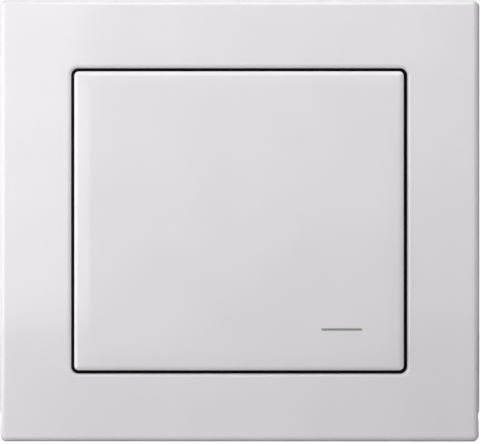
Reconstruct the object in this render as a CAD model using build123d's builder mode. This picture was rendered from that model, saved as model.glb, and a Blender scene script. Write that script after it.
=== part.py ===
from build123d import *
import os
from math import asin, cos, degrees, radians, sin

os.makedirs("parts", exist_ok=True)

# A wireless light switch for the wall: one wide rocker in a plain cover frame. All sizes are
# in mm. X runs to the right, Z up and Y into the wall, whose surface is the plane Y = 0.
# A "depth" is a distance in front of the wall, so it is measured along minus Y.

# Cover frame and its window, seen in the photograph
frame_width = 87.2
frame_height = 80.5
frame_corner = 1.05
frame_edge = 0.95
window_width = 61.3
window_height = 55.7
window_corner = 1.3
window_edge = 0.7

# Rocker and the thin light guide near its lower right corner, seen in the photograph
rocker_gap = 0.58
rocker_corner = 0.9
lens_length = 7.3
lens_thick = 0.36
lens_from_right = 11.3
lens_from_bottom = 7.45

# The rocker's face falls away to its edges in three arcs that run into each other
fall_reach = 2.0
fall_radius = 25.0
shoulder_radius = 1.6
shoulder_angle = 25.0
lip_radius = 0.5

# The stack of layers, from the wall to the face
plate_skin = 1.6
plate_rib = 0.8
base_floor = 1.2
board_lift = 1.0
board_thick = 1.0
part_room = 3.8
cover_skin = 1.0
pivot_rise = 0.9
yoke_thick = 1.2
rocker_plate = 1.9
rocker_proud = 0.8
frame_face = 1.8
base_side = 4.0
trough_floor = 1.2

# Walls and clearances that mating pieces share
frame_wall = 1.8
collar_wall = 1.4
collar_gap = 0.1
rim_show = 0.28
rim_width = 1.65
base_wall = 1.5
cover_wall = 1.2
trough_width = 2.15
skirt_wall = 1.3
skirt_drop = 2.2
seat_gap = 0.1
hook_gap = 0.15
module_corner = 2.0

# Snap hooks of the wall plate, and what they hold
hook_thick = 1.4
hook_width = 8.0
hook_bite = 0.6
hook_land = 0.4
hook_nose = 0.9
hook_level = 17.0
collar_reach = 5.3
nose_out = 0.7
nose_thick = 1.0
nose_over = 1.0
pocket_rise = 1.6
pocket_tall = 1.8
pocket_deep = 0.7
pocket_slip = 0.3

# Wall plate: screw slots at the 60 mm pitch of wall boxes, and foam tape
plate_gap = 0.2
plate_corner = 1.0
plate_rim = 1.4
slot_pitch = 60.0
slot_length = 8.0
slot_wide = 4.2
slot_sink = 1.4
slot_cone = 45.0
slot_pad_width = 14.0
slot_pad_height = 11.0
seat_band = 4.0
tape_length = 50.0
tape_width = 12.0
tape_thick = 0.8
tape_inset = 5.25
tape_gap = 0.2

# Cover frame, on its back
wall_end = 0.4
rib_thick = 1.0
rib_drop = 3.0
rib_spread = 24.0
rib_count = 3
pry_width = 10.0
pry_height = 1.2

# Module: pillars in its corners and the screws that close it from the back
pillar_half = 2.4
screw_radius = 1.1
screw_slip = 0.15
screw_bite_gap = 0.02
screw_head_radius = 2.0
screw_head_tall = 1.1
screw_head_sink = 0.2
screw_reach = 3.0
cross_width = 0.5
cross_deep = 0.6
tongue_wide = 0.7
tongue_tall = 0.5
tongue_gap = 0.1

# Pivot between the module and the rocker
trunnion_short = 0.1
trunnion_root = 2.0
pivot_gap = 0.05
lug_inner = 24.6
lug_wide = 1.8
lug_ring = 1.45
lug_snap = 0.7
lug_play = 0.3

# Yoke under the rocker, and what it presses
yoke_height = 30.0
yoke_corner = 2.0
yoke_slot_width = 12.0
yoke_slot_height = 18.0
yoke_slot_centre = 11.0
stake_long = 3.0
stake_wide = 1.2
stake_gap = 0.05
stake_x = 20.0
stake_z = 11.0
stake_beyond = 0.2
pusher_inset = 3.0
pusher_side = 2.2
pusher_length = 1.65
pusher_slip = 0.7
rib_low = 0.8
rib_step = 12.0

# Light guide behind the rocker and its window in the module
lens_slot_gap = 0.03
root_length = 8.5
root_height = 2.4
root_deep = 1.1
light_hole_length = 5.0
light_hole_height = 2.2
hood_wall = 0.8
hood_drop = 2.4

# Push switches
switch_side = 6.0
switch_tall = 3.0
switch_floor = 0.6
switch_bore = 2.3
shield_thick = 0.2
shield_side_width = 4.0
shield_drop = 1.6
foot_wide = 0.7
foot_long = 1.0
foot_thick = 0.2
foot_step = 3.6
plunger_radius = 1.55
plunger_slip = 0.1
plunger_collar = 2.1
plunger_collar_tall = 0.8
plunger_gap = 0.05
dome_top = 0.8
dome_foot = 2.2
dome_thick = 0.1
dome_rise = 0.56

# Board and what is soldered to it
board_margin = 3.5
board_corner = 1.5
board_hole_slip = 0.2
cell_x = -15.0
cell_radius = 10.0
cell_tall = 2.9
cell_shoulder = 2.0
cell_cap_tall = 0.3
holder_gap = 0.3
holder_wall = 1.0
holder_tall = 2.8
ledge_gap = 0.6
finger_width = 8.0
contact_thick = 0.2
contact_wide = 5.0
contact_foot = 2.4
contact_arm = 6.6
contact_inset = 2.0
contact_tail = 3.4
contact_slip = 0.1
chip_x = 9.5
chip_z = -4.0
chip_width = 6.2
chip_height = 3.9
chip_tall = 1.4
chip_lift = 0.1
chip_leads = 8
lead_pitch = 0.65
lead_wide = 0.25
lead_thick = 0.2
lead_reach = 1.0
crystal_x = 12.0
crystal_z = 7.0
crystal_length = 10.6
crystal_wide = 4.2
crystal_tall = 3.0
antenna_x = 22.5
antenna_reach = 1.8
antenna_rows = 7
antenna_step = 2.4
antenna_wide = 0.8
antenna_thick = 0.3
antenna_lift = 2.8
antenna_below = 0.3
small_x = 12.0
capacitor_z = -11.5
capacitor_length = 1.6
capacitor_wide = 0.8
capacitor_tall = 0.8
resistor_z = 14.0
resistor_tall = 0.45
small_step_x = 3.0
small_step_z = 2.4
small_columns = 3
small_rows = 2
led_length = 3.0
led_wide = 1.5
led_base = 0.4
led_dome = 0.6
led_inset = 0.3
led_taper = 5.0

# Depths of the layers, each built up from the one behind it
plate_front = plate_skin + plate_rib
base_front = plate_front + base_floor
board_back = base_front + board_lift
board_front = board_back + board_thick
ceiling = board_front + part_room
plateau_front = ceiling + cover_skin
pivot_depth = plateau_front + pivot_rise
rocker_back = pivot_depth + yoke_thick
crown = rocker_back + rocker_plate
frame_front = crown - rocker_proud
frame_back = frame_front - frame_face
rim_top = frame_back - seat_gap
parting = base_front + base_side
trough_front = parting + trough_floor
skirt_end = rocker_back - skirt_drop
collar_end = frame_back - collar_reach
catch = collar_end + nose_thick + seat_gap

# Half widths and half heights, as (x, z), from the window outwards and inwards
window_half = Vector(window_width / 2, window_height / 2)
ones = Vector(1, 1)
rocker_half = window_half - ones * rocker_gap
rim_half = window_half - ones * rim_show
module_half = rim_half + ones * rim_width
collar_half = module_half + ones * (collar_gap + collar_wall)
plateau_half = rim_half - ones * trough_width
hollow_half = plateau_half - ones * cover_wall
base_half = module_half - ones * base_wall
frame_half = Vector(frame_width / 2, frame_height / 2)
frame_hollow = frame_half - ones * frame_wall
plate_half = frame_hollow - ones * plate_gap
board_half = base_half - ones * board_margin
tape_level = plate_half.Y - tape_inset - tape_width / 2
cell_cap_radius = cell_radius - cell_shoulder
pusher_level = yoke_height / 2 - pusher_inset
pillar = hollow_half - ones * pillar_half
screws = [(-pillar.X, -pillar.Y), (pillar.X, pillar.Y)]
lens_x = rocker_half.X - lens_from_right
lens_z = -rocker_half.Y + lens_from_bottom


def layer(depth):
    """A plane parallel to the wall at this depth, drawn as seen from the front."""
    return Plane(origin=(0, -depth, 0), x_dir=(1, 0, 0), z_dir=(0, -1, 0))


def behind(depth):
    """The same plane seen from the wall, so holes sunk from it run to the front."""
    return Plane(origin=(0, -depth, 0), x_dir=(1, 0, 0), z_dir=(0, 1, 0))


def level_cut(height):
    """A level section at this height: x across, depth upwards on the sheet."""
    return Plane(origin=(0, 0, height), x_dir=(1, 0, 0), z_dir=(0, 0, -1))


def upright_cut(across):
    """An upright section at this x: z across, depth upwards on the sheet."""
    return Plane(origin=(across, 0, 0), x_dir=(0, 0, 1), z_dir=(1, 0, 0))


def oblong(depth, half, corner):
    """A rounded rectangle of these half sizes, at this depth."""
    with BuildSketch(layer(depth)) as outline:
        RectangleRounded(2 * half.X, 2 * half.Y, corner)
    return outline.sketch


def squared(depth, half):
    """A rectangle of these half sizes, at this depth."""
    with BuildSketch(layer(depth)) as outline:
        Rectangle(2 * half.X, 2 * half.Y)
    return outline.sketch


def band(depth, outer, inner):
    """A rectangle with a smaller one taken out of it, at this depth."""
    with BuildSketch(layer(depth)) as outline:
        Rectangle(2 * outer.X, 2 * outer.Y)
        Rectangle(2 * inner.X, 2 * inner.Y, mode=Mode.SUBTRACT)
    return outline.sketch


def hook_pair(sheet, stem, root, grip):
    """Two snap hooks that face each other, in section, with their barbs pointing inwards."""
    tip = stem - hook_bite
    top = grip + hook_land + hook_nose
    with BuildSketch(sheet) as pair:
        with BuildLine():
            Polyline(
                (stem, root),
                (stem + hook_thick, root),
                (stem + hook_thick, top),
                (stem, top),
                (tip, grip + hook_land),
                (tip, grip),
                (stem, grip),
                close=True,
            )
        make_face()
        mirror(about=Plane.YZ)
    return pair.sketch


def face_section(sheet, half):
    """The rocker's face in section: flat in the middle, then three arcs down to its edge."""
    gentle = degrees(asin(fall_reach / fall_radius))
    steep = shoulder_angle - gentle
    fall = fall_reach + shoulder_radius * (sin(radians(shoulder_angle)) - sin(radians(gentle)))
    flat = half - fall - lip_radius * (1 - sin(radians(shoulder_angle)))
    with BuildSketch(sheet) as section:
        with BuildLine():
            top = Line((0, crown), (flat, crown))
            slow = JernArc(top @ 1, top % 1, fall_radius, -gentle)
            quick = JernArc(slow @ 1, slow % 1, shoulder_radius, -steep)
            lip = JernArc(quick @ 1, quick % 1, lip_radius, shoulder_angle - 90)
            Polyline(lip @ 1, (half, skirt_end), (0, skirt_end), (0, crown))
        make_face()
        mirror(about=Plane.YZ)
    return section.sketch


# Wall plate: a thin skin with a rim, pads and a raised band that the module stands on
with BuildPart() as wall_plate:
    extrude(oblong(0, plate_half, plate_corner), amount=plate_skin)
    rim_inside = plate_half - ones * plate_rim
    extrude(oblong(plate_skin, plate_half, plate_corner), amount=plate_rib)
    extrude(squared(plate_skin, rim_inside), amount=plate_rib, mode=Mode.SUBTRACT)
    extrude(band(plate_skin, module_half, module_half - ones * seat_band), amount=plate_rib)
    # Pads round the screw slots, and ribs that tie the band to the rim
    with BuildSketch(layer(plate_skin)):
        with GridLocations(slot_pitch, 0, 2, 1):
            Rectangle(slot_pad_width, slot_pad_height)
        with GridLocations(plate_half.X + module_half.X, 2 * hook_level, 2, 2):
            Rectangle(plate_half.X - module_half.X, plate_rim)
        with GridLocations(rib_spread, plate_half.Y + module_half.Y, rib_count, 2):
            Rectangle(plate_rim, plate_half.Y - module_half.Y)
    extrude(amount=plate_rib)
    # Slots with sunk edges, so that flat screw heads lie under the module
    with BuildSketch(layer(0)):
        with GridLocations(slot_pitch, 0, 2, 1):
            SlotOverall(slot_length, slot_wide)
    extrude(amount=plate_front, mode=Mode.SUBTRACT)
    with BuildSketch(behind(plate_front)):
        with GridLocations(slot_pitch, 0, 2, 1):
            SlotOverall(slot_length + 2 * slot_sink, slot_wide + 2 * slot_sink)
    extrude(amount=slot_sink, taper=slot_cone, mode=Mode.SUBTRACT)
    # Shallow beds for the tape
    with BuildSketch(layer(0)):
        with GridLocations(0, 2 * tape_level, 1, 2):
            Rectangle(tape_length + 2 * tape_gap, tape_width + 2 * tape_gap)
    extrude(amount=tape_thick, mode=Mode.SUBTRACT)
    # Four hooks at the sides hold the frame, one above and one below hold the module
    for level in (-hook_level, hook_level):
        frame_hooks = hook_pair(level_cut(level), collar_half.X + nose_out + hook_gap, plate_skin, catch)
        extrude(frame_hooks, amount=hook_width / 2, both=True)
    module_grip = plate_front + pocket_rise + seat_gap
    module_hooks = hook_pair(upright_cut(0), module_half.Y + hook_gap, plate_skin, module_grip)
    extrude(module_hooks, amount=hook_width / 2, both=True)
wall_plate.part.label = "wall_plate"
export_step(wall_plate.part, "parts/wall_plate.step")

# Two strips of foam tape lie in the beds, level with the back of the plate
for name, level in (("upper", tape_level), ("lower", -tape_level)):
    with BuildPart() as adhesive_strip:
        with BuildSketch(layer(0)):
            with Locations((0, level)):
                Rectangle(tape_length, tape_width)
        extrude(amount=tape_thick)
    adhesive_strip.part.label = f"adhesive_strip_{name}"
    export_step(adhesive_strip.part, f"parts/adhesive_strip_{name}.step")

# Module base: a tray with pillars for the board and a tongue that enters the cover
with BuildPart() as module_base:
    extrude(oblong(plate_front, module_half, module_corner), amount=parting - plate_front)
    extrude(squared(base_front, base_half), amount=base_side, mode=Mode.SUBTRACT)
    extrude(band(parting, base_half + ones * tongue_wide, base_half), amount=tongue_tall)
    # Pillars in all four corners carry the board, and two of them are bored for the screws
    with BuildSketch(layer(base_front)):
        with GridLocations(2 * pillar.X, 2 * pillar.Y, 2, 2):
            Rectangle(2 * pillar_half, 2 * pillar_half)
    extrude(amount=board_lift)
    with Locations(*[Plane(origin=(x, -plate_front, z), z_dir=(0, 1, 0)) for x, z in screws]):
        CounterBoreHole(
            screw_radius + screw_slip,
            screw_head_radius + screw_slip,
            screw_head_tall + screw_head_sink,
        )
    # Pockets in the outer wall for the plate's module hooks
    with BuildSketch(layer(plate_front + pocket_rise)):
        with GridLocations(0, 2 * module_half.Y, 1, 2):
            Rectangle(hook_width + 2 * pocket_slip, 2 * pocket_deep)
    extrude(amount=pocket_tall, mode=Mode.SUBTRACT)
module_base.part.label = "module_base"
export_step(module_base.part, "parts/module_base.step")

# Module cover: its rim is the black line round the rocker. Inside the rim runs a trough for
# the rocker's skirt, and the plateau in the middle carries the two pivot lugs.
with BuildPart() as module_cover:
    extrude(oblong(parting, module_half, module_corner), amount=rim_top - parting)
    inside_rim = oblong(trough_front, rim_half, window_corner)
    extrude(inside_rim, amount=rim_top - trough_front, mode=Mode.SUBTRACT)
    extrude(oblong(trough_front, plateau_half, window_corner), amount=plateau_front - trough_front)
    extrude(squared(parting, hollow_half), amount=ceiling - parting, mode=Mode.SUBTRACT)
    groove_out = base_half + ones * (tongue_wide + tongue_gap)
    groove = band(parting, groove_out, base_half - ones * tongue_gap)
    extrude(groove, amount=tongue_tall + tongue_gap, mode=Mode.SUBTRACT)
    # Pillars in all four corners press on the board, and two of them take the screws
    with BuildSketch(layer(board_front)):
        with GridLocations(2 * pillar.X, 2 * pillar.Y, 2, 2):
            Rectangle(2 * pillar_half, 2 * pillar_half)
    extrude(amount=ceiling - board_front)
    with BuildSketch(layer(board_front)):
        with Locations(*screws):
            Circle(screw_radius + screw_bite_gap)
    extrude(amount=screw_reach + screw_bite_gap, mode=Mode.SUBTRACT)
    # A hood keeps the indicator's light together on its way to the front
    with BuildSketch(layer(ceiling - hood_drop)):
        with Locations((lens_x, lens_z)):
            Rectangle(light_hole_length + 2 * hood_wall, light_hole_height + 2 * hood_wall)
    extrude(amount=hood_drop)
    with BuildSketch(layer(ceiling - hood_drop)):
        with Locations((lens_x, lens_z)):
            Rectangle(light_hole_length, light_hole_height)
    extrude(amount=hood_drop + cover_skin, mode=Mode.SUBTRACT)
    # Holes for the yoke's pushers
    with BuildSketch(layer(ceiling)):
        with GridLocations(0, 2 * pusher_level, 1, 2):
            Rectangle(pusher_side + 2 * pusher_slip, pusher_side + 2 * pusher_slip)
    extrude(amount=cover_skin, mode=Mode.SUBTRACT)
    # Lugs with open bores: the trunnions snap in from the front
    bore = yoke_thick - trunnion_short + pivot_gap
    for side in (-1, 1):
        centre = side * (lug_inner + lug_wide / 2)
        with BuildSketch(upright_cut(centre)):
            with Locations((0, (plateau_front + pivot_depth + lug_snap) / 2)):
                Rectangle(2 * (bore + lug_ring), pivot_depth + lug_snap - plateau_front)
        extrude(amount=lug_wide / 2, both=True)
        # The bore runs on inwards as a groove, clear of the trunnion's root
        groove_end = lug_inner - 2 * lug_play - trunnion_root
        groove_start = lug_inner + lug_wide + lug_play
        with BuildSketch(upright_cut(side * (groove_start + groove_end) / 2)):
            with Locations((0, pivot_depth)):
                Circle(bore)
        extrude(amount=(groove_start - groove_end) / 2, both=True, mode=Mode.SUBTRACT)
module_cover.part.label = "module_cover"
export_step(module_cover.part, "parts/module_cover.step")

# Two screws close the module from the back, with a cross recess in each head
with BuildPart() as cover_screws:
    head_back = plate_front + screw_head_sink
    with BuildSketch(layer(head_back)):
        with Locations(*screws):
            Circle(screw_head_radius)
    extrude(amount=screw_head_tall)
    with BuildSketch(layer(head_back)):
        with Locations(*screws):
            Circle(screw_radius)
    extrude(amount=board_front + screw_reach - head_back)
    with BuildSketch(layer(head_back)):
        with Locations(*screws):
            Rectangle(screw_head_radius, cross_width)
            Rectangle(cross_width, screw_head_radius)
    extrude(amount=cross_deep, mode=Mode.SUBTRACT)
cover_screws.part.label = "cover_screws"
export_step(cover_screws.part, "parts/cover_screws.step")

# Circuit board with holes for the screws and slots for the antenna's two legs
antenna_end = antenna_step * (antenna_rows - 1) / 2
legs = [
    (antenna_x - antenna_reach, -antenna_end),
    (antenna_x + antenna_reach, antenna_end),
]
with BuildPart() as circuit_board:
    extrude(oblong(board_back, board_half, board_corner), amount=board_thick)
    with BuildSketch(layer(board_back)):
        with Locations(*screws):
            Circle(screw_radius + board_hole_slip)
        with Locations(*legs):
            Rectangle(antenna_wide + contact_slip, antenna_wide + contact_slip)
    extrude(amount=board_thick, mode=Mode.SUBTRACT)
circuit_board.part.label = "circuit_board"
export_step(circuit_board.part, "parts/circuit_board.step")

# Antenna: a stamped strip that winds to and fro above the board on two legs
with BuildPart() as antenna_strip:
    winding = []
    for row in range(antenna_rows):
        side = -1 if row % 2 == 0 else 1
        for end in (side, -side):
            winding.append((antenna_x + end * antenna_reach, row * antenna_step - antenna_end))
    with BuildSketch(layer(board_front + antenna_lift)):
        with BuildLine():
            Polyline(*winding)
        trace(line_width=antenna_wide)
        with Locations(*legs):
            Rectangle(antenna_wide, antenna_wide)
    extrude(amount=antenna_thick)
    with BuildSketch(layer(board_back - antenna_below)):
        with Locations(*legs):
            Rectangle(antenna_wide, antenna_wide)
    extrude(amount=board_thick + antenna_lift + antenna_below)
antenna_strip.part.label = "antenna_strip"
export_step(antenna_strip.part, "parts/antenna_strip.step")

# Coin cell: a wide can over a smaller cap that faces the board
ledge_top = board_front + 2 * cell_cap_tall
with BuildPart() as coin_cell:
    with BuildSketch(layer(ledge_top)):
        with Locations((cell_x, 0)):
            Circle(cell_radius)
    extrude(amount=cell_tall)
    with BuildSketch(layer(ledge_top - cell_cap_tall)):
        with Locations((cell_x, 0)):
            Circle(cell_cap_radius)
    extrude(amount=cell_cap_tall)
coin_cell.part.label = "coin_cell"
export_step(coin_cell.part, "parts/coin_cell.step")

# Holder: a round wall with a ledge for the can's edge, a gap for a fingertip and one for a contact
with BuildPart() as battery_holder:
    with BuildSketch(layer(board_front)):
        with Locations((cell_x, 0)):
            Circle(cell_radius + holder_gap + holder_wall)
            Circle(cell_cap_radius + ledge_gap, mode=Mode.SUBTRACT)
    extrude(amount=ledge_top - board_front)
    with BuildSketch(layer(ledge_top)):
        with Locations((cell_x, 0)):
            Circle(cell_radius + holder_gap + holder_wall)
            Circle(cell_radius + holder_gap, mode=Mode.SUBTRACT)
        with Locations((cell_x + cell_radius, 0)):
            Rectangle(finger_width, finger_width, mode=Mode.SUBTRACT)
    extrude(amount=holder_tall - 2 * cell_cap_tall)
    with BuildSketch(layer(board_front)):
        with Locations((cell_x, -cell_radius)):
            Rectangle(contact_tail + 2 * contact_slip, cell_radius)
    extrude(amount=cell_cap_tall + contact_slip, mode=Mode.SUBTRACT)
battery_holder.part.label = "battery_holder"
export_step(battery_holder.part, "parts/battery_holder.step")

# The two contacts: a flat one under the cell and a bent strip over it
with BuildPart() as negative_contact:
    with BuildSketch(layer(board_front)):
        with Locations((cell_x, 0)):
            Circle(cell_cap_radius - contact_inset)
        with Locations((cell_x, -(cell_radius + contact_tail) / 2)):
            Rectangle(contact_tail, cell_radius + contact_tail)
    extrude(amount=cell_cap_tall)
negative_contact.part.label = "negative_contact"
export_step(negative_contact.part, "parts/negative_contact.step")

with BuildPart() as positive_contact:
    leg = cell_radius + holder_gap + holder_wall + contact_thick + contact_slip
    strip_top = ledge_top + cell_tall + contact_thick / 2
    with BuildSketch(upright_cut(cell_x)):
        with BuildLine():
            Polyline(
                (leg + contact_foot, board_front + contact_thick / 2),
                (leg, board_front + contact_thick / 2),
                (leg, strip_top),
                (leg - contact_arm, strip_top),
            )
        trace(line_width=contact_thick)
    extrude(amount=contact_wide / 2, both=True)
positive_contact.part.label = "positive_contact"
export_step(positive_contact.part, "parts/positive_contact.step")

# Radio chip with a row of bent leads on each long side
with BuildPart() as radio_chip:
    with BuildSketch(layer(board_front + chip_lift)):
        with Locations((chip_x, chip_z)):
            Rectangle(chip_width, chip_height)
    extrude(amount=chip_tall)
    chamfer(radio_chip.faces().sort_by(Axis.Y)[0].edges(), lead_thick)
    for place in range(chip_leads):
        across = chip_x + (place - (chip_leads - 1) / 2) * lead_pitch
        heel = chip_height / 2 + lead_reach / 2
        with BuildSketch(upright_cut(across)):
            for side in (-1, 1):
                with BuildLine():
                    Polyline(
                        (chip_z, board_front + chip_tall / 2),
                        (chip_z + side * heel, board_front + chip_tall / 2),
                        (chip_z + side * heel, board_front + lead_thick / 2),
                        (chip_z + side * (heel + lead_reach / 2), board_front + lead_thick / 2),
                    )
                trace(line_width=lead_thick)
        extrude(amount=lead_wide / 2, both=True)
radio_chip.part.label = "radio_chip"
export_step(radio_chip.part, "parts/radio_chip.step")

# Crystal in a metal can
with BuildPart() as crystal:
    with BuildSketch(layer(board_front)):
        with Locations((crystal_x, crystal_z)):
            SlotOverall(crystal_length, crystal_wide)
    extrude(amount=crystal_tall)
crystal.part.label = "crystal"
export_step(crystal.part, "parts/crystal.step")

# Small capacitors and resistors in short rows
for name, level, tall in (
    ("chip_capacitors", capacitor_z, capacitor_tall),
    ("chip_resistors", resistor_z, resistor_tall),
):
    with BuildPart() as small_parts:
        with BuildSketch(layer(board_front)):
            with Locations((small_x, level)):
                with GridLocations(small_step_x, small_step_z, small_columns, small_rows):
                    Rectangle(capacitor_length, capacitor_wide)
        extrude(amount=tall)
    small_parts.part.label = name
    export_step(small_parts.part, f"parts/{name}.step")

# Indicator light on the board, straight behind the light guide
with BuildPart() as indicator_led:
    with BuildSketch(layer(board_front)):
        with Locations((lens_x, lens_z)):
            Rectangle(led_length, led_wide)
    extrude(amount=led_base)
    with BuildSketch(layer(board_front + led_base)):
        with Locations((lens_x, lens_z)):
            Rectangle(led_length - 2 * led_inset, led_wide - led_inset)
    extrude(amount=led_dome, taper=led_taper)
indicator_led.part.label = "indicator_led"
export_step(indicator_led.part, "parts/indicator_led.step")

# Two push switches, each with a moulded body, a metal shield, a snap dome and a plunger
cavity = board_front + switch_floor
switch_front = board_front + switch_tall
plunger_back = cavity + dome_rise + plunger_gap
plunger_top = pivot_depth - pusher_length - plunger_gap
for name, level in (("upper", pusher_level), ("lower", -pusher_level)):
    with BuildPart() as switch_body:
        with BuildSketch(layer(board_front)):
            with Locations((0, level)):
                Rectangle(switch_side, switch_side)
        extrude(amount=switch_tall)
        with BuildSketch(layer(board_front)):
            with Locations((0, level)):
                with GridLocations(switch_side + foot_long, foot_step, 2, 2):
                    Rectangle(foot_long, foot_wide)
        extrude(amount=foot_thick)
        with BuildSketch(layer(cavity)):
            with Locations((0, level)):
                Circle(switch_bore)
        extrude(amount=switch_front - cavity, mode=Mode.SUBTRACT)
    switch_body.part.label = f"switch_body_{name}"
    export_step(switch_body.part, f"parts/switch_body_{name}.step")

    with BuildPart() as switch_shield:
        with BuildSketch(layer(switch_front)):
            with Locations((0, level)):
                Rectangle(switch_side + 2 * shield_thick, switch_side)
                Circle(plunger_radius + plunger_slip, mode=Mode.SUBTRACT)
        extrude(amount=shield_thick)
        with BuildSketch(layer(switch_front - shield_drop)):
            with Locations((0, level)):
                with GridLocations(switch_side + shield_thick, 0, 2, 1):
                    Rectangle(shield_thick, shield_side_width)
        extrude(amount=shield_drop)
    switch_shield.part.label = f"switch_shield_{name}"
    export_step(switch_shield.part, f"parts/switch_shield_{name}.step")

    with BuildPart() as snap_dome:
        with BuildSketch(upright_cut(0)):
            with BuildLine():
                Polyline(
                    (level, cavity + dome_rise),
                    (level + dome_top, cavity + dome_rise),
                    (level + dome_foot, cavity + dome_thick),
                    (level + dome_foot, cavity),
                    (level + dome_top, cavity + dome_rise - dome_thick),
                    (level, cavity + dome_rise - dome_thick),
                    close=True,
                )
            make_face()
        revolve(axis=Axis((0, 0, level), (0, 1, 0)))
    snap_dome.part.label = f"snap_dome_{name}"
    export_step(snap_dome.part, f"parts/snap_dome_{name}.step")

    with BuildPart() as plunger:
        with BuildSketch(layer(plunger_back)):
            with Locations((0, level)):
                Circle(plunger_collar)
        extrude(amount=plunger_collar_tall)
        with BuildSketch(layer(plunger_back)):
            with Locations((0, level)):
                Circle(plunger_radius)
        extrude(amount=plunger_top - plunger_back)
    plunger.part.label = f"plunger_{name}"
    export_step(plunger.part, f"parts/plunger_{name}.step")

# Cover frame: a face with a rounded edge, an outer wall down to the wall, and a collar round
# the module whose noses snap behind the plate's hooks
with BuildPart() as cover_frame:
    extrude(oblong(wall_end, frame_half, frame_corner), amount=frame_front - wall_end)
    extrude(oblong(wall_end, window_half, window_corner), amount=frame_front, mode=Mode.SUBTRACT)
    face = cover_frame.faces().filter_by(Axis.Y).sort_by(Axis.Y)[0]
    fillet(face.outer_wire().edges(), frame_edge)
    face = cover_frame.faces().filter_by(Axis.Y).sort_by(Axis.Y)[0]
    fillet(face.inner_wires()[0].edges(), window_edge)
    # Hollow between the outer wall and the collar, then the collar's own height and bore
    moat = band(wall_end, frame_hollow, collar_half)
    extrude(moat, amount=frame_back - wall_end, mode=Mode.SUBTRACT)
    below_collar = squared(wall_end, collar_half + ones * nose_out)
    extrude(below_collar, amount=collar_end - wall_end, mode=Mode.SUBTRACT)
    bore_half = collar_half - ones * collar_wall
    extrude(oblong(wall_end, bore_half, module_corner), amount=frame_back - wall_end, mode=Mode.SUBTRACT)
    # Ribs stiffen the face above and below the window and at its sides
    with BuildSketch(layer(frame_back - rib_drop)):
        with GridLocations(rib_spread, frame_hollow.Y + collar_half.Y, rib_count, 2):
            Rectangle(rib_thick, frame_hollow.Y - collar_half.Y)
        with GridLocations(frame_hollow.X + collar_half.X, 0, 2, 1):
            Rectangle(frame_hollow.X - collar_half.X, rib_thick)
    extrude(amount=rib_drop)
    # Noses on the collar, one for each hook
    with BuildSketch(layer(collar_end)):
        with GridLocations(2 * collar_half.X + nose_out, 2 * hook_level, 2, 2):
            Rectangle(nose_out, hook_width + 2 * nose_over)
    extrude(amount=nose_thick)
    # A notch in the lower edge takes a screwdriver blade
    with BuildSketch(layer(wall_end)):
        with Locations((0, -frame_half.Y)):
            Rectangle(pry_width, 2 * frame_wall)
    extrude(amount=pry_height, mode=Mode.SUBTRACT)
cover_frame.part.label = "cover_frame"
export_step(cover_frame.part, "parts/cover_frame.step")

# Rocker: the two face sections meet over the rounded outline, and the back is hollowed out
with BuildPart() as rocker:
    extrude(oblong(skirt_end, rocker_half, rocker_corner), amount=crown - skirt_end)
    across = face_section(level_cut(0), rocker_half.X)
    extrude(across, amount=rocker_half.Y, both=True, mode=Mode.INTERSECT)
    upwards = face_section(upright_cut(0), rocker_half.Y)
    extrude(upwards, amount=rocker_half.X, both=True, mode=Mode.INTERSECT)
    inside = rocker_half - ones * skirt_wall
    extrude(squared(skirt_end, inside), amount=skirt_drop, mode=Mode.SUBTRACT)
    # Posts that are staked through the yoke, and short ribs beyond it
    with BuildSketch(layer(pivot_depth - stake_beyond)):
        with GridLocations(2 * stake_x, 2 * stake_z, 2, 2):
            Rectangle(stake_long, stake_wide)
    extrude(amount=yoke_thick + stake_beyond)
    rib_run = inside.Y - yoke_height / 2 - seat_gap
    with BuildSketch(layer(rocker_back - rib_low)):
        with GridLocations(rib_step, yoke_height + 2 * seat_gap + rib_run, rib_count, 2):
            Rectangle(rib_low, rib_run)
    extrude(amount=rib_low)
    # Slot for the light guide
    with BuildSketch(layer(rocker_back)):
        with Locations((lens_x, lens_z)):
            Rectangle(lens_length + 2 * lens_slot_gap, lens_thick + 2 * lens_slot_gap)
    extrude(amount=rocker_plate, mode=Mode.SUBTRACT)
rocker.part.label = "rocker"
export_step(rocker.part, "parts/rocker.step")

# Light guide: a thin blade that ends level with the face, on a wider root behind it
with BuildPart() as indicator_lens:
    with BuildSketch(layer(rocker_back - root_deep)):
        with Locations((lens_x, lens_z)):
            Rectangle(root_length, root_height)
    extrude(amount=root_deep)
    with BuildSketch(layer(rocker_back)):
        with Locations((lens_x, lens_z)):
            Rectangle(lens_length, lens_thick)
    extrude(amount=rocker_plate)
indicator_lens.part.label = "indicator_lens"
export_step(indicator_lens.part, "parts/indicator_lens.step")

# Yoke: a stiff frame under the rocker with the two trunnions and the two pushers
yoke_half_width = lug_inner - lug_play
with BuildPart() as rocker_yoke:
    with BuildSketch(layer(pivot_depth)):
        RectangleRounded(2 * yoke_half_width, yoke_height, yoke_corner)
        with GridLocations(2 * yoke_slot_centre, 0, 2, 1):
            Rectangle(yoke_slot_width, yoke_slot_height, mode=Mode.SUBTRACT)
        with GridLocations(2 * stake_x, 2 * stake_z, 2, 2):
            Rectangle(stake_long + 2 * stake_gap, stake_wide + 2 * stake_gap, mode=Mode.SUBTRACT)
    extrude(amount=yoke_thick)
    for side in (-1, 1):
        inner_end = yoke_half_width - trunnion_root
        outer_end = lug_inner + lug_wide + lug_play / 2
        with BuildSketch(upright_cut(side * (inner_end + outer_end) / 2)):
            with Locations((0, pivot_depth)):
                Circle(yoke_thick - trunnion_short)
        extrude(amount=(outer_end - inner_end) / 2, both=True)
    with BuildSketch(layer(pivot_depth - pusher_length)):
        with GridLocations(0, 2 * pusher_level, 1, 2):
            Rectangle(pusher_side, pusher_side)
    extrude(amount=pusher_length)
rocker_yoke.part.label = "rocker_yoke"
export_step(rocker_yoke.part, "parts/rocker_yoke.step")
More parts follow.
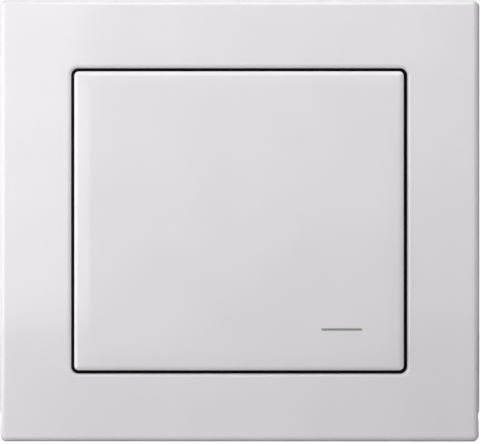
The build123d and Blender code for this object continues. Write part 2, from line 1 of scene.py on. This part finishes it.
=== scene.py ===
# %% [markdown]
# # A wireless light switch
# The object is a flat white wall switch: a cover frame with one wide rocker in its window.
# Behind them lies a black radio module on a wall plate. The shapes come ready made from the
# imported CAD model, so this lesson is about what Blender adds: the camera, the light and a
# finish for every piece. All lengths are in metres, X runs to the right, Y into the wall and Z
# up.

# %% Load the model
import bpy
import math
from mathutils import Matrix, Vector


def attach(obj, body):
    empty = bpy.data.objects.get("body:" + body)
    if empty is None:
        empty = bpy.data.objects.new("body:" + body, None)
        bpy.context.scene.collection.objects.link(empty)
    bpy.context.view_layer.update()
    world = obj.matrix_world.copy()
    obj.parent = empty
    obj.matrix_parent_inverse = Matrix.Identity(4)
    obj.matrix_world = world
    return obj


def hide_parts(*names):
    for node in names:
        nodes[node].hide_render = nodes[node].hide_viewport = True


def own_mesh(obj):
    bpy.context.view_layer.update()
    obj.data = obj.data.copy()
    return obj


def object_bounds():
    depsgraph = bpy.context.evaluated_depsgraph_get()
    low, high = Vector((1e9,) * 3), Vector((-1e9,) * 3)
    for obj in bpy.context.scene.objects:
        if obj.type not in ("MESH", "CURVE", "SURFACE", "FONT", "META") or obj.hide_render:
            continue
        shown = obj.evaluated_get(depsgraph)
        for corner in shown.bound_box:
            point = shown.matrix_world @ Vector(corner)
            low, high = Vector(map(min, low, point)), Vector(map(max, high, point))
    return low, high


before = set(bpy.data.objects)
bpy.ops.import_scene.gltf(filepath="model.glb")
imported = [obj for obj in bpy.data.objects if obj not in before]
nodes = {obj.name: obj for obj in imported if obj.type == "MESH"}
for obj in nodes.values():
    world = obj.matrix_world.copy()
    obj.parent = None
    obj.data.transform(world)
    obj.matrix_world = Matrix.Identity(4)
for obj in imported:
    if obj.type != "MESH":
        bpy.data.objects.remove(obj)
cad_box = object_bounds()
MM = 0.001
print("pieces:", len(nodes), "box in mm:", [round(v / MM, 1) for v in cad_box[1] - cad_box[0]])

# %% [markdown]
# The camera looks almost straight at the switch, from far away with a very long lens, so there
# is next to no perspective. In the photograph the right border looks about a pixel wider than
# the left one and ends in a thin dark line, which is a glimpse of the side wall. So the camera
# stands a little to the right of the middle. The photograph has 0.1825 mm to the pixel, which
# ties the lens to the distance. The distance counts from a plane just behind the frame's
# rounded edge, where the side wall makes the outline. The camera is set off by about a pixel,
# so that the switch lies in the picture where it does in the photograph.

# %% Camera
IMAGE_WIDTH_PIXELS = 480
PIXEL = 0.1825 * MM
CAMERA_AWAY = 3.0
EDGE_DEPTH = 12.4 * MM
FROM_RIGHT = math.radians(1.7)
OFF_RIGHT = 0.8 * PIXEL
OFF_DOWN = 1.15 * PIXEL

camera = bpy.data.objects.new("camera", bpy.data.cameras.new("camera"))
bpy.context.scene.collection.objects.link(camera)
outwards = Vector((math.sin(FROM_RIGHT), -math.cos(FROM_RIGHT), 0))
sideways = Vector((math.cos(FROM_RIGHT), math.sin(FROM_RIGHT), 0))
edge_plane = Vector((0, -EDGE_DEPTH, -OFF_DOWN))
camera.location = edge_plane + CAMERA_AWAY * outwards + OFF_RIGHT * sideways
camera.rotation_euler = (math.radians(90), 0, FROM_RIGHT)
camera.data.lens = camera.data.sensor_width * CAMERA_AWAY / (IMAGE_WIDTH_PIXELS * PIXEL)
bpy.context.scene.camera = camera
print("lens in mm:", round(camera.data.lens, 1))

# %% [markdown]
# Colours are written as sRGB hex values, the way a colour picker shows them, and one function
# turns them into the linear numbers that Blender works with. Another small function adds any
# shader node: it takes the node's type, its settings, and for each input either a value or
# another node's output. The numbers in the first function are those of the sRGB standard.

# %% Two helpers for materials
def linear(hex_colour):
    parts = [int(hex_colour[i:i + 2], 16) / 255 for i in (1, 3, 5)]
    bent = [p / 12.92 if p <= 0.04045 else ((p + 0.055) / 1.055) ** 2.4 for p in parts]
    return bent + [1.0]


def add(tree, kind, inputs=None, **settings):
    node = tree.nodes.new(kind)
    for name, value in settings.items():
        setattr(node, name, value)
    for name, value in (inputs or {}).items():
        if isinstance(value, bpy.types.NodeSocket):
            tree.links.new(value, node.inputs[name])
        else:
            node.inputs[name].default_value = value
    return node


print("white ABS in linear light:", [round(v, 3) for v in linear("#EAE7EA")])

# %% [markdown]
# Every surface here was moulded, stamped, drawn or printed, and each way of making leaves its
# own relief. So a finish has three layers: a colour that varies a little, a roughness that
# varies a little, and a bump at the real size of the grain. The object's own coordinates drive
# them, so the grain keeps its size in millimetres on every piece. Patch, grain and relief are
# lengths in millimetres. This function makes that common ground for a named material.

# %% A finish with grain
FIRST_TONE_AT = 0.3
SECOND_TONE_AT = 0.7
CLOUD_DETAIL = 3.0
GRAIN_DETAIL = 4.0


def finish(name, tones, grain, relief, roughness, patch=12.0, ior=1.5, metallic=0.0):
    material = bpy.data.materials.new(name)
    material.use_nodes = True
    tree = material.node_tree
    tree.nodes.clear()
    place = add(tree, "ShaderNodeTexCoord").outputs["Object"]
    cloud = add(tree, "ShaderNodeTexNoise", {
        "Vector": place, "Scale": 1 / (patch * MM), "Detail": CLOUD_DETAIL})
    colour = add(tree, "ShaderNodeValToRGB", {"Fac": cloud.outputs["Fac"]})
    stops = colour.color_ramp.elements
    for stop, position, tone in zip(stops, (FIRST_TONE_AT, SECOND_TONE_AT), tones):
        stop.position = position
        stop.color = linear(tone)
    fine = add(tree, "ShaderNodeTexNoise", {
        "Vector": place, "Scale": 1 / (grain * MM), "Detail": GRAIN_DETAIL})
    rough = add(tree, "ShaderNodeMapRange", {
        "Value": fine.outputs["Fac"], "To Min": roughness[0], "To Max": roughness[1]})
    bump = add(tree, "ShaderNodeBump", {
        "Height": fine.outputs["Fac"], "Distance": relief * MM, "Strength": 1.0})
    surface = add(tree, "ShaderNodeBsdfPrincipled", {
        "Base Color": colour.outputs["Color"], "Roughness": rough.outputs["Result"],
        "Normal": bump.outputs["Normal"], "IOR": ior, "Metallic": metallic})
    end = add(tree, "ShaderNodeOutputMaterial", {"Surface": surface.outputs["BSDF"]})
    return {"material": material, "tree": tree, "place": place, "surface": surface, "fine": fine,
            "colour": colour, "bump": bump, "end": end}


def dress(material, *names):
    for name in names:
        nodes[name].data.materials.clear()
        nodes[name].data.materials.append(material)
    print(material.name, "on", ", ".join(names))


# %% [markdown]
# The cover frame and the rocker are ABS, injection moulded against a polished tool. The eye
# gets a clean, cool white with a clear but soft reflection, and a very faint waviness where the
# plastic shrank over its ribs. ABS has an index of about 1.53. The waviness is a few
# micrometres over several millimetres, so it only bends the reflections a little.

# %% White ABS, moulded
ABS_IOR = 1.53
WAVE_LENGTH = 9.0 * MM
WAVE_HEIGHT = 0.006 * MM
white = finish("ABS_white_moulded", ("#E8E5E8", "#ECE9EC"), grain=0.5, relief=0.0006,
               roughness=(0.05, 0.08), patch=18.0, ior=ABS_IOR)
wave = add(white["tree"], "ShaderNodeTexNoise", {
    "Vector": white["place"], "Scale": 1 / WAVE_LENGTH, "Detail": 1.0})
add_wave = add(white["tree"], "ShaderNodeBump", {
    "Height": wave.outputs["Fac"], "Distance": WAVE_HEIGHT, "Strength": 1.0,
    "Normal": white["bump"].outputs["Normal"]})
white["tree"].links.new(add_wave.outputs["Normal"], white["surface"].inputs["Normal"])
dress(white["material"], "cover_frame", "rocker")

# %% [markdown]
# The wall plate, the yoke and the plungers are ABS too, but nobody sees them in use, so their
# tools are spark eroded and not polished. That leaves an even, fine grain and a dull, slightly
# greyer white.

# %% Light grey ABS, eroded
plain = finish("ABS_light_grey_eroded", ("#C6C6C8", "#CECED0"), grain=0.25, relief=0.012,
               roughness=(0.48, 0.6), ior=ABS_IOR)
dress(plain["material"], "wall_plate", "rocker_yoke", "plunger_upper", "plunger_lower")

# %% [markdown]
# The module's two halves and the cell holder are black ABS with the same eroded grain. The
# cover's rim stands behind the gap round the rocker, so its deep black with little shine is also
# painted shade there: it makes the thin black line of shade in the gap.

# %% Black ABS, eroded
# The low specular level keeps the rim's painted shade in the gap dark.
DULL_SPECULAR = 0.2
black = finish("ABS_black_eroded_and_gap_shade", ("#0B0B0C", "#101011"), grain=0.25, relief=0.012,
               roughness=(0.5, 0.65), ior=ABS_IOR)
black["surface"].inputs["Specular IOR Level"].default_value = DULL_SPECULAR
dress(black["material"], "module_base", "module_cover", "battery_holder")

# %% [markdown]
# The indicator's light guide is acrylic, tinted grey-green, so that it is quiet while the light
# is off. It is cut flush with the rocker's face. Acrylic has an index of 1.49. A little light
# passes into it, and the rest comes back from its cloudy body.

# %% Acrylic, tinted
ACRYLIC_IOR = 1.49
ACRYLIC_CLEARNESS = 0.15
guide = finish("acrylic_tinted_moulded", ("#9AA196", "#A2A998"), grain=0.2, relief=0.001,
               roughness=(0.25, 0.35), patch=3.0, ior=ACRYLIC_IOR)
guide["surface"].inputs["Transmission Weight"].default_value = ACRYLIC_CLEARNESS
dress(guide["material"], "indicator_lens")

# %% [markdown]
# The tape is polyethylene foam. Its cut face shows small closed cells, so a cell pattern from a
# Voronoi texture takes the place of the plain grain, with cells about half a millimetre across.

# %% Polyethylene foam
CELL_WIDTH = 0.55 * MM
CELL_DEPTH = 0.12 * MM
CELL_STRENGTH = 0.8
foam = finish("polyethylene_foam_cut", ("#C2C2BC", "#D2D2CC"), grain=0.3, relief=0.02,
              roughness=(0.7, 0.85), patch=4.0)
cells = add(foam["tree"], "ShaderNodeTexVoronoi", {
    "Vector": foam["place"], "Scale": 1 / CELL_WIDTH})
dents = add(foam["tree"], "ShaderNodeBump", {
    "Height": cells.outputs["Distance"], "Distance": CELL_DEPTH, "Strength": CELL_STRENGTH,
    "Normal": foam["bump"].outputs["Normal"]})
foam["tree"].links.new(dents.outputs["Normal"], foam["surface"].inputs["Normal"])
dress(foam["material"], "adhesive_strip_upper", "adhesive_strip_lower")

# %% [markdown]
# The circuit board is glass fibre under a green solder mask. The copper tracks lie under the
# mask and show as paler lines, here bands about 0.35 mm wide every 1.2 mm, broken up by a
# coarse noise, as routed tracks are. Blender's wave bands repeat about three times to each unit
# of scale, which WAVE_BANDS makes up for.

# %% Solder mask on glass fibre
TRACK_PITCH = 1.2 * MM
WAVE_BANDS = 2 / math.tau
TRACK_SHARE = 0.8
ROUTE_PATCH = 5.0 * MM
ROUTE_SHARE = 0.5
board = finish("solder_mask_green", ("#0F4A24", "#14572C"), grain=0.15, relief=0.002,
               roughness=(0.25, 0.35), patch=6.0)
tracks = add(board["tree"], "ShaderNodeTexWave", {
    "Vector": board["place"], "Scale": WAVE_BANDS / TRACK_PITCH, "Distortion": 0.0},
    wave_type="BANDS", bands_direction="X")
routes = add(board["tree"], "ShaderNodeTexNoise", {
    "Vector": board["place"], "Scale": 1 / ROUTE_PATCH, "Detail": 0.0})
lines = add(board["tree"], "ShaderNodeMath", {
    0: tracks.outputs["Fac"], 1: TRACK_SHARE}, operation="GREATER_THAN")
areas = add(board["tree"], "ShaderNodeMath", {
    0: routes.outputs["Fac"], 1: ROUTE_SHARE}, operation="GREATER_THAN")
copper_here = add(board["tree"], "ShaderNodeMath", {
    0: lines.outputs[0], 1: areas.outputs[0]}, operation="MULTIPLY")
masked = add(board["tree"], "ShaderNodeMix", {
    "Factor": copper_here.outputs[0], "A": board["colour"].outputs["Color"], "B": linear("#2C7A45")},
    data_type="RGBA")
mixed_colour = masked.outputs[2]
board["tree"].links.new(mixed_colour, board["surface"].inputs["Base Color"])
dress(board["material"], "circuit_board")

# %% [markdown]
# The cell, the shields, the contacts, the crystal's can, the domes and the screws are steel
# with a thin plating of nickel or zinc. Rolled sheet keeps fine scratches along the rolling
# direction, so the grain is stretched along X. A metal's colour is the colour of its
# reflection.

# %% Nickel plate on steel
ALONG_ROLLING = 0.08
plated = finish("nickel_plated_rolled", ("#B9B6AE", "#C4C1B9"), grain=0.12, relief=0.0015,
                roughness=(0.22, 0.38), patch=5.0, metallic=1.0)
stretch = add(plated["tree"], "ShaderNodeMapping", {
    "Vector": plated["place"], "Scale": (ALONG_ROLLING, 1.0, 1.0)})
plated["tree"].links.new(stretch.outputs["Vector"], plated["fine"].inputs["Vector"])
dress(plated["material"], "coin_cell", "positive_contact", "negative_contact", "crystal",
      "switch_shield_upper", "switch_shield_lower", "snap_dome_upper", "snap_dome_lower",
      "cover_screws")

# %% [markdown]
# The antenna is stamped from bare copper strip, so it has a warm shine with a faint grain from
# rolling.

# %% Copper, rolled
copper = finish("copper_rolled", ("#B87B54", "#C58A62"), grain=0.1, relief=0.001,
                roughness=(0.2, 0.32), patch=2.0, metallic=1.0)
dress(copper["material"], "antenna_strip")

# %% [markdown]
# The chip and the switches' bodies are epoxy filled with silica powder, which leaves a dull
# dark grey with pale specks. The capacitors are fired ceramic in a warm brown, and the light is
# clear epoxy.

# %% Epoxy, ceramic and clear resin
RESIN_CLEARNESS = 0.5
epoxy = finish("epoxy_filled_moulded", ("#1B1B1D", "#242426"), grain=0.08, relief=0.004,
               roughness=(0.5, 0.7), patch=1.5)
dress(epoxy["material"], "radio_chip", "chip_resistors", "switch_body_upper", "switch_body_lower")
ceramic = finish("ceramic_fired", ("#9C7B57", "#AE8D68"), grain=0.1, relief=0.003,
                 roughness=(0.4, 0.55), patch=1.0)
dress(ceramic["material"], "chip_capacitors")
resin = finish("epoxy_clear_cast", ("#D9D6B8", "#E2DFC4"), grain=0.15, relief=0.001,
               roughness=(0.12, 0.2), patch=1.0)
resin["surface"].inputs["Transmission Weight"].default_value = RESIN_CLEARNESS
dress(resin["material"], "indicator_led")

# %% [markdown]
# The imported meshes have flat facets. Smooth shading with a limit on the angle keeps the mould's
# sharp edges and makes the rounded ones run evenly, without touching a vertex.

# %% Smooth shading
SHARP_ANGLE = math.radians(32)
for piece in nodes.values():
    chosen = {"object": piece, "active_object": piece, "selected_editable_objects": [piece]}
    with bpy.context.temp_override(**chosen):
        bpy.ops.object.shade_smooth_by_angle(angle=SHARP_ANGLE)
print("shaded smooth below", round(math.degrees(SHARP_ANGLE)), "degrees")

# %% [markdown]
# A snap dome is a thin steel dish that gives way under its plunger. The imported model draws it
# relaxed, so the plunger would cut into it at the end of its travel. A copy of each dome is
# attached to the housing here and the imported one is hidden. The copy keeps the relaxed shape.

# %% Copies of the snap domes
for end in ("upper", "lower"):
    packed = nodes[f"snap_dome_{end}"]
    dome = bpy.data.objects.new(f"flexing_dome_{end}", packed.data.copy())
    bpy.context.scene.collection.objects.link(dome)
    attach(dome, "housing")
    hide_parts(f"snap_dome_{end}")
    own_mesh(dome)

# %% [markdown]
# The switch is shown on its lower edge on a pale floor, as on a studio table. The floor is not
# part of the object. It catches the shadow. For the camera it also glows a little, so that it
# runs into the white background, and that glow lights nothing.

# %% Floor
FLOOR_HALF = 3.0
FLOOR_GLOW = 0.7
floor_mesh = bpy.data.meshes.new("floor")
corners = [(x * FLOOR_HALF, y * FLOOR_HALF, 0) for x, y in ((-1, -1), (1, -1), (1, 1), (-1, 1))]
floor_mesh.from_pydata(corners, [], [(0, 1, 2, 3)])
floor = bpy.data.objects.new("floor", floor_mesh)
bpy.context.scene.collection.objects.link(floor)
floor.location.z = cad_box[0].z
ground = finish("studio_board_painted", ("#B6B6B6", "#BCBCBC"), grain=2.0, relief=0.01,
                roughness=(0.7, 0.8), patch=60.0)
floor_sight = add(ground["tree"], "ShaderNodeLightPath")
glow = add(ground["tree"], "ShaderNodeEmission", {
    "Color": linear("#FFFFFF"), "Strength": FLOOR_GLOW})
lit = add(ground["tree"], "ShaderNodeAddShader", {
    0: ground["surface"].outputs["BSDF"], 1: glow.outputs["Emission"]})
seen = add(ground["tree"], "ShaderNodeMixShader", {
    "Fac": floor_sight.outputs["Is Camera Ray"], 1: ground["surface"].outputs["BSDF"],
    2: lit.outputs["Shader"]})
ground["tree"].links.new(seen.outputs["Shader"], ground["end"].inputs["Surface"])
floor.data.materials.append(ground["material"])
print("floor at z in mm:", round(floor.location.z / MM, 2))

# %% [markdown]
# The glimpse of the side wall is dark over the frame's whole height in the photograph. At such
# a flat angle a glossy wall is nearly a mirror of what stands far behind it, and the floor's
# far end darkens only its lower part. So a grey flag stands behind on the right, as in a
# studio. Only mirror rays see it.

# %% Grey flag
FLAG_BEHIND = 1.5
FLAG_WIDTH = 0.3
FLAG_TOP = 0.3
flag_mesh = bpy.data.meshes.new("flag")
flag_mesh.from_pydata([(0, 0, 0), (FLAG_WIDTH, 0, 0), (FLAG_WIDTH, 0, FLAG_TOP), (0, 0, FLAG_TOP)],
                      [], [(0, 1, 2, 3)])
flag = bpy.data.objects.new("flag", flag_mesh)
bpy.context.scene.collection.objects.link(flag)
flag.location = (0, FLAG_BEHIND, floor.location.z)
cloth = finish("studio_cloth_grey", ("#CACACA", "#D2D2D2"), grain=1.0, relief=0.05,
               roughness=(0.8, 0.9), patch=60.0)
flag.data.materials.append(cloth["material"])
flag.visible_camera = False
flag.visible_diffuse = False
flag.visible_transmission = False
flag.visible_shadow = False
print("flag", FLAG_BEHIND, "m behind, seen by mirror rays only")

# %% [markdown]
# The background is white only to the eye: camera, mirror and glass rays see a strength of 1,
# while the light that the world really gives is much lower, and a little stronger from the
# front left than from the right. A dot product with that direction makes the even change from
# one side to the other.

# %% World
world = bpy.data.worlds.new("studio")
bpy.context.scene.world = world
world.use_nodes = True
sky = world.node_tree
sky.nodes.clear()
BRIGHTEST_FROM = (-0.8, -0.6, 0.0)
WHITE = 1.0
DIM_SIDE = 0.15
BRIGHT_SIDE = 0.385
sight = add(sky, "ShaderNodeLightPath")
direction = add(sky, "ShaderNodeTexCoord").outputs["Generated"]
facing = add(sky, "ShaderNodeVectorMath", {
    0: direction, 1: BRIGHTEST_FROM}, operation="DOT_PRODUCT")
room = add(sky, "ShaderNodeMapRange", {
    "Value": facing.outputs["Value"], "From Min": -1.0, "From Max": 1.0,
    "To Min": DIM_SIDE, "To Max": BRIGHT_SIDE})
mirror_or_eye = add(sky, "ShaderNodeMath", {
    0: sight.outputs["Is Camera Ray"], 1: sight.outputs["Is Glossy Ray"]}, operation="MAXIMUM")
any_sight = add(sky, "ShaderNodeMath", {
    0: mirror_or_eye.outputs[0], 1: sight.outputs["Is Transmission Ray"]}, operation="MAXIMUM")
level = add(sky, "ShaderNodeMapRange", {
    "Value": any_sight.outputs[0], "To Min": room.outputs["Result"], "To Max": WHITE})
back = add(sky, "ShaderNodeBackground", {
    "Color": linear("#FFFFFF"), "Strength": level.outputs["Result"]})
add(sky, "ShaderNodeOutputWorld", {"Surface": back.outputs["Background"]})
print("world strength from", DIM_SIDE, "to", BRIGHT_SIDE)

# %% [markdown]
# In the photograph the left and upper edges shine, the right and lower ones fall into shade,
# and the face darkens towards the lower right. So four small lamps stand near, at the upper
# front, overhead, at the left front and far to the left. A larger side lamp away to the left
# also reaches down to the window's right lip, which shines in the photograph. A tall soft card
# beside the camera makes the paler patch on the left border and the pale band along the
# rocker's left edge, which are both its mirror image. A lamp behind lights the back for other
# views, and stays out of mirrors, so that the frame's top doesn't flare. No lamp is seen by the
# camera itself.

# %% Lamps
MIDDLE = (0.0, 0.0, 0.0)


def softbox(name, place, size, power, aim=MIDDLE, in_mirrors=True):
    lamp = bpy.data.objects.new(name, bpy.data.lights.new(name, "AREA"))
    bpy.context.scene.collection.objects.link(lamp)
    lamp.location = Vector(place)
    lamp.rotation_euler = (Vector(aim) - Vector(place)).to_track_quat("-Z", "Y").to_euler()
    lamp.data.shape = "RECTANGLE"
    lamp.data.size, lamp.data.size_y = size
    lamp.data.energy = power
    lamp.visible_camera = False
    lamp.visible_glossy = in_mirrors
    print(name, "at", place, "size", size, "power", power)


softbox("front_lamp", place=(0.03, -0.15, 0.16), size=(0.16, 0.16), power=0.184)
softbox("overhead_lamp", place=(0.0, -0.05, 0.22), size=(0.16, 0.16), power=0.046)
softbox("left_lamp", place=(-0.12, -0.12, 0.04), size=(0.12, 0.12), power=0.052)
softbox("far_left_lamp", place=(-0.24, -0.05, 0.0), size=(0.14, 0.14), power=0.15)
softbox("side_lamp", place=(-0.6, -0.6, 0.02), size=(0.3, 0.3), power=1.1)
softbox("soft_card", place=(-0.0725, -0.3, 0.022), size=(0.065, 0.0855), power=0.024,
        aim=(-0.0725, 0.0, 0.022))
softbox("back_lamp", place=(0.0, 0.4, 0.12), size=(0.3, 0.3), power=0.95, in_mirrors=False)

# %% [markdown]
# The picture is shown with the plain Standard view, so that a colour renders about as it is
# written.

# %% View
bpy.context.scene.view_settings.view_transform = "Standard"
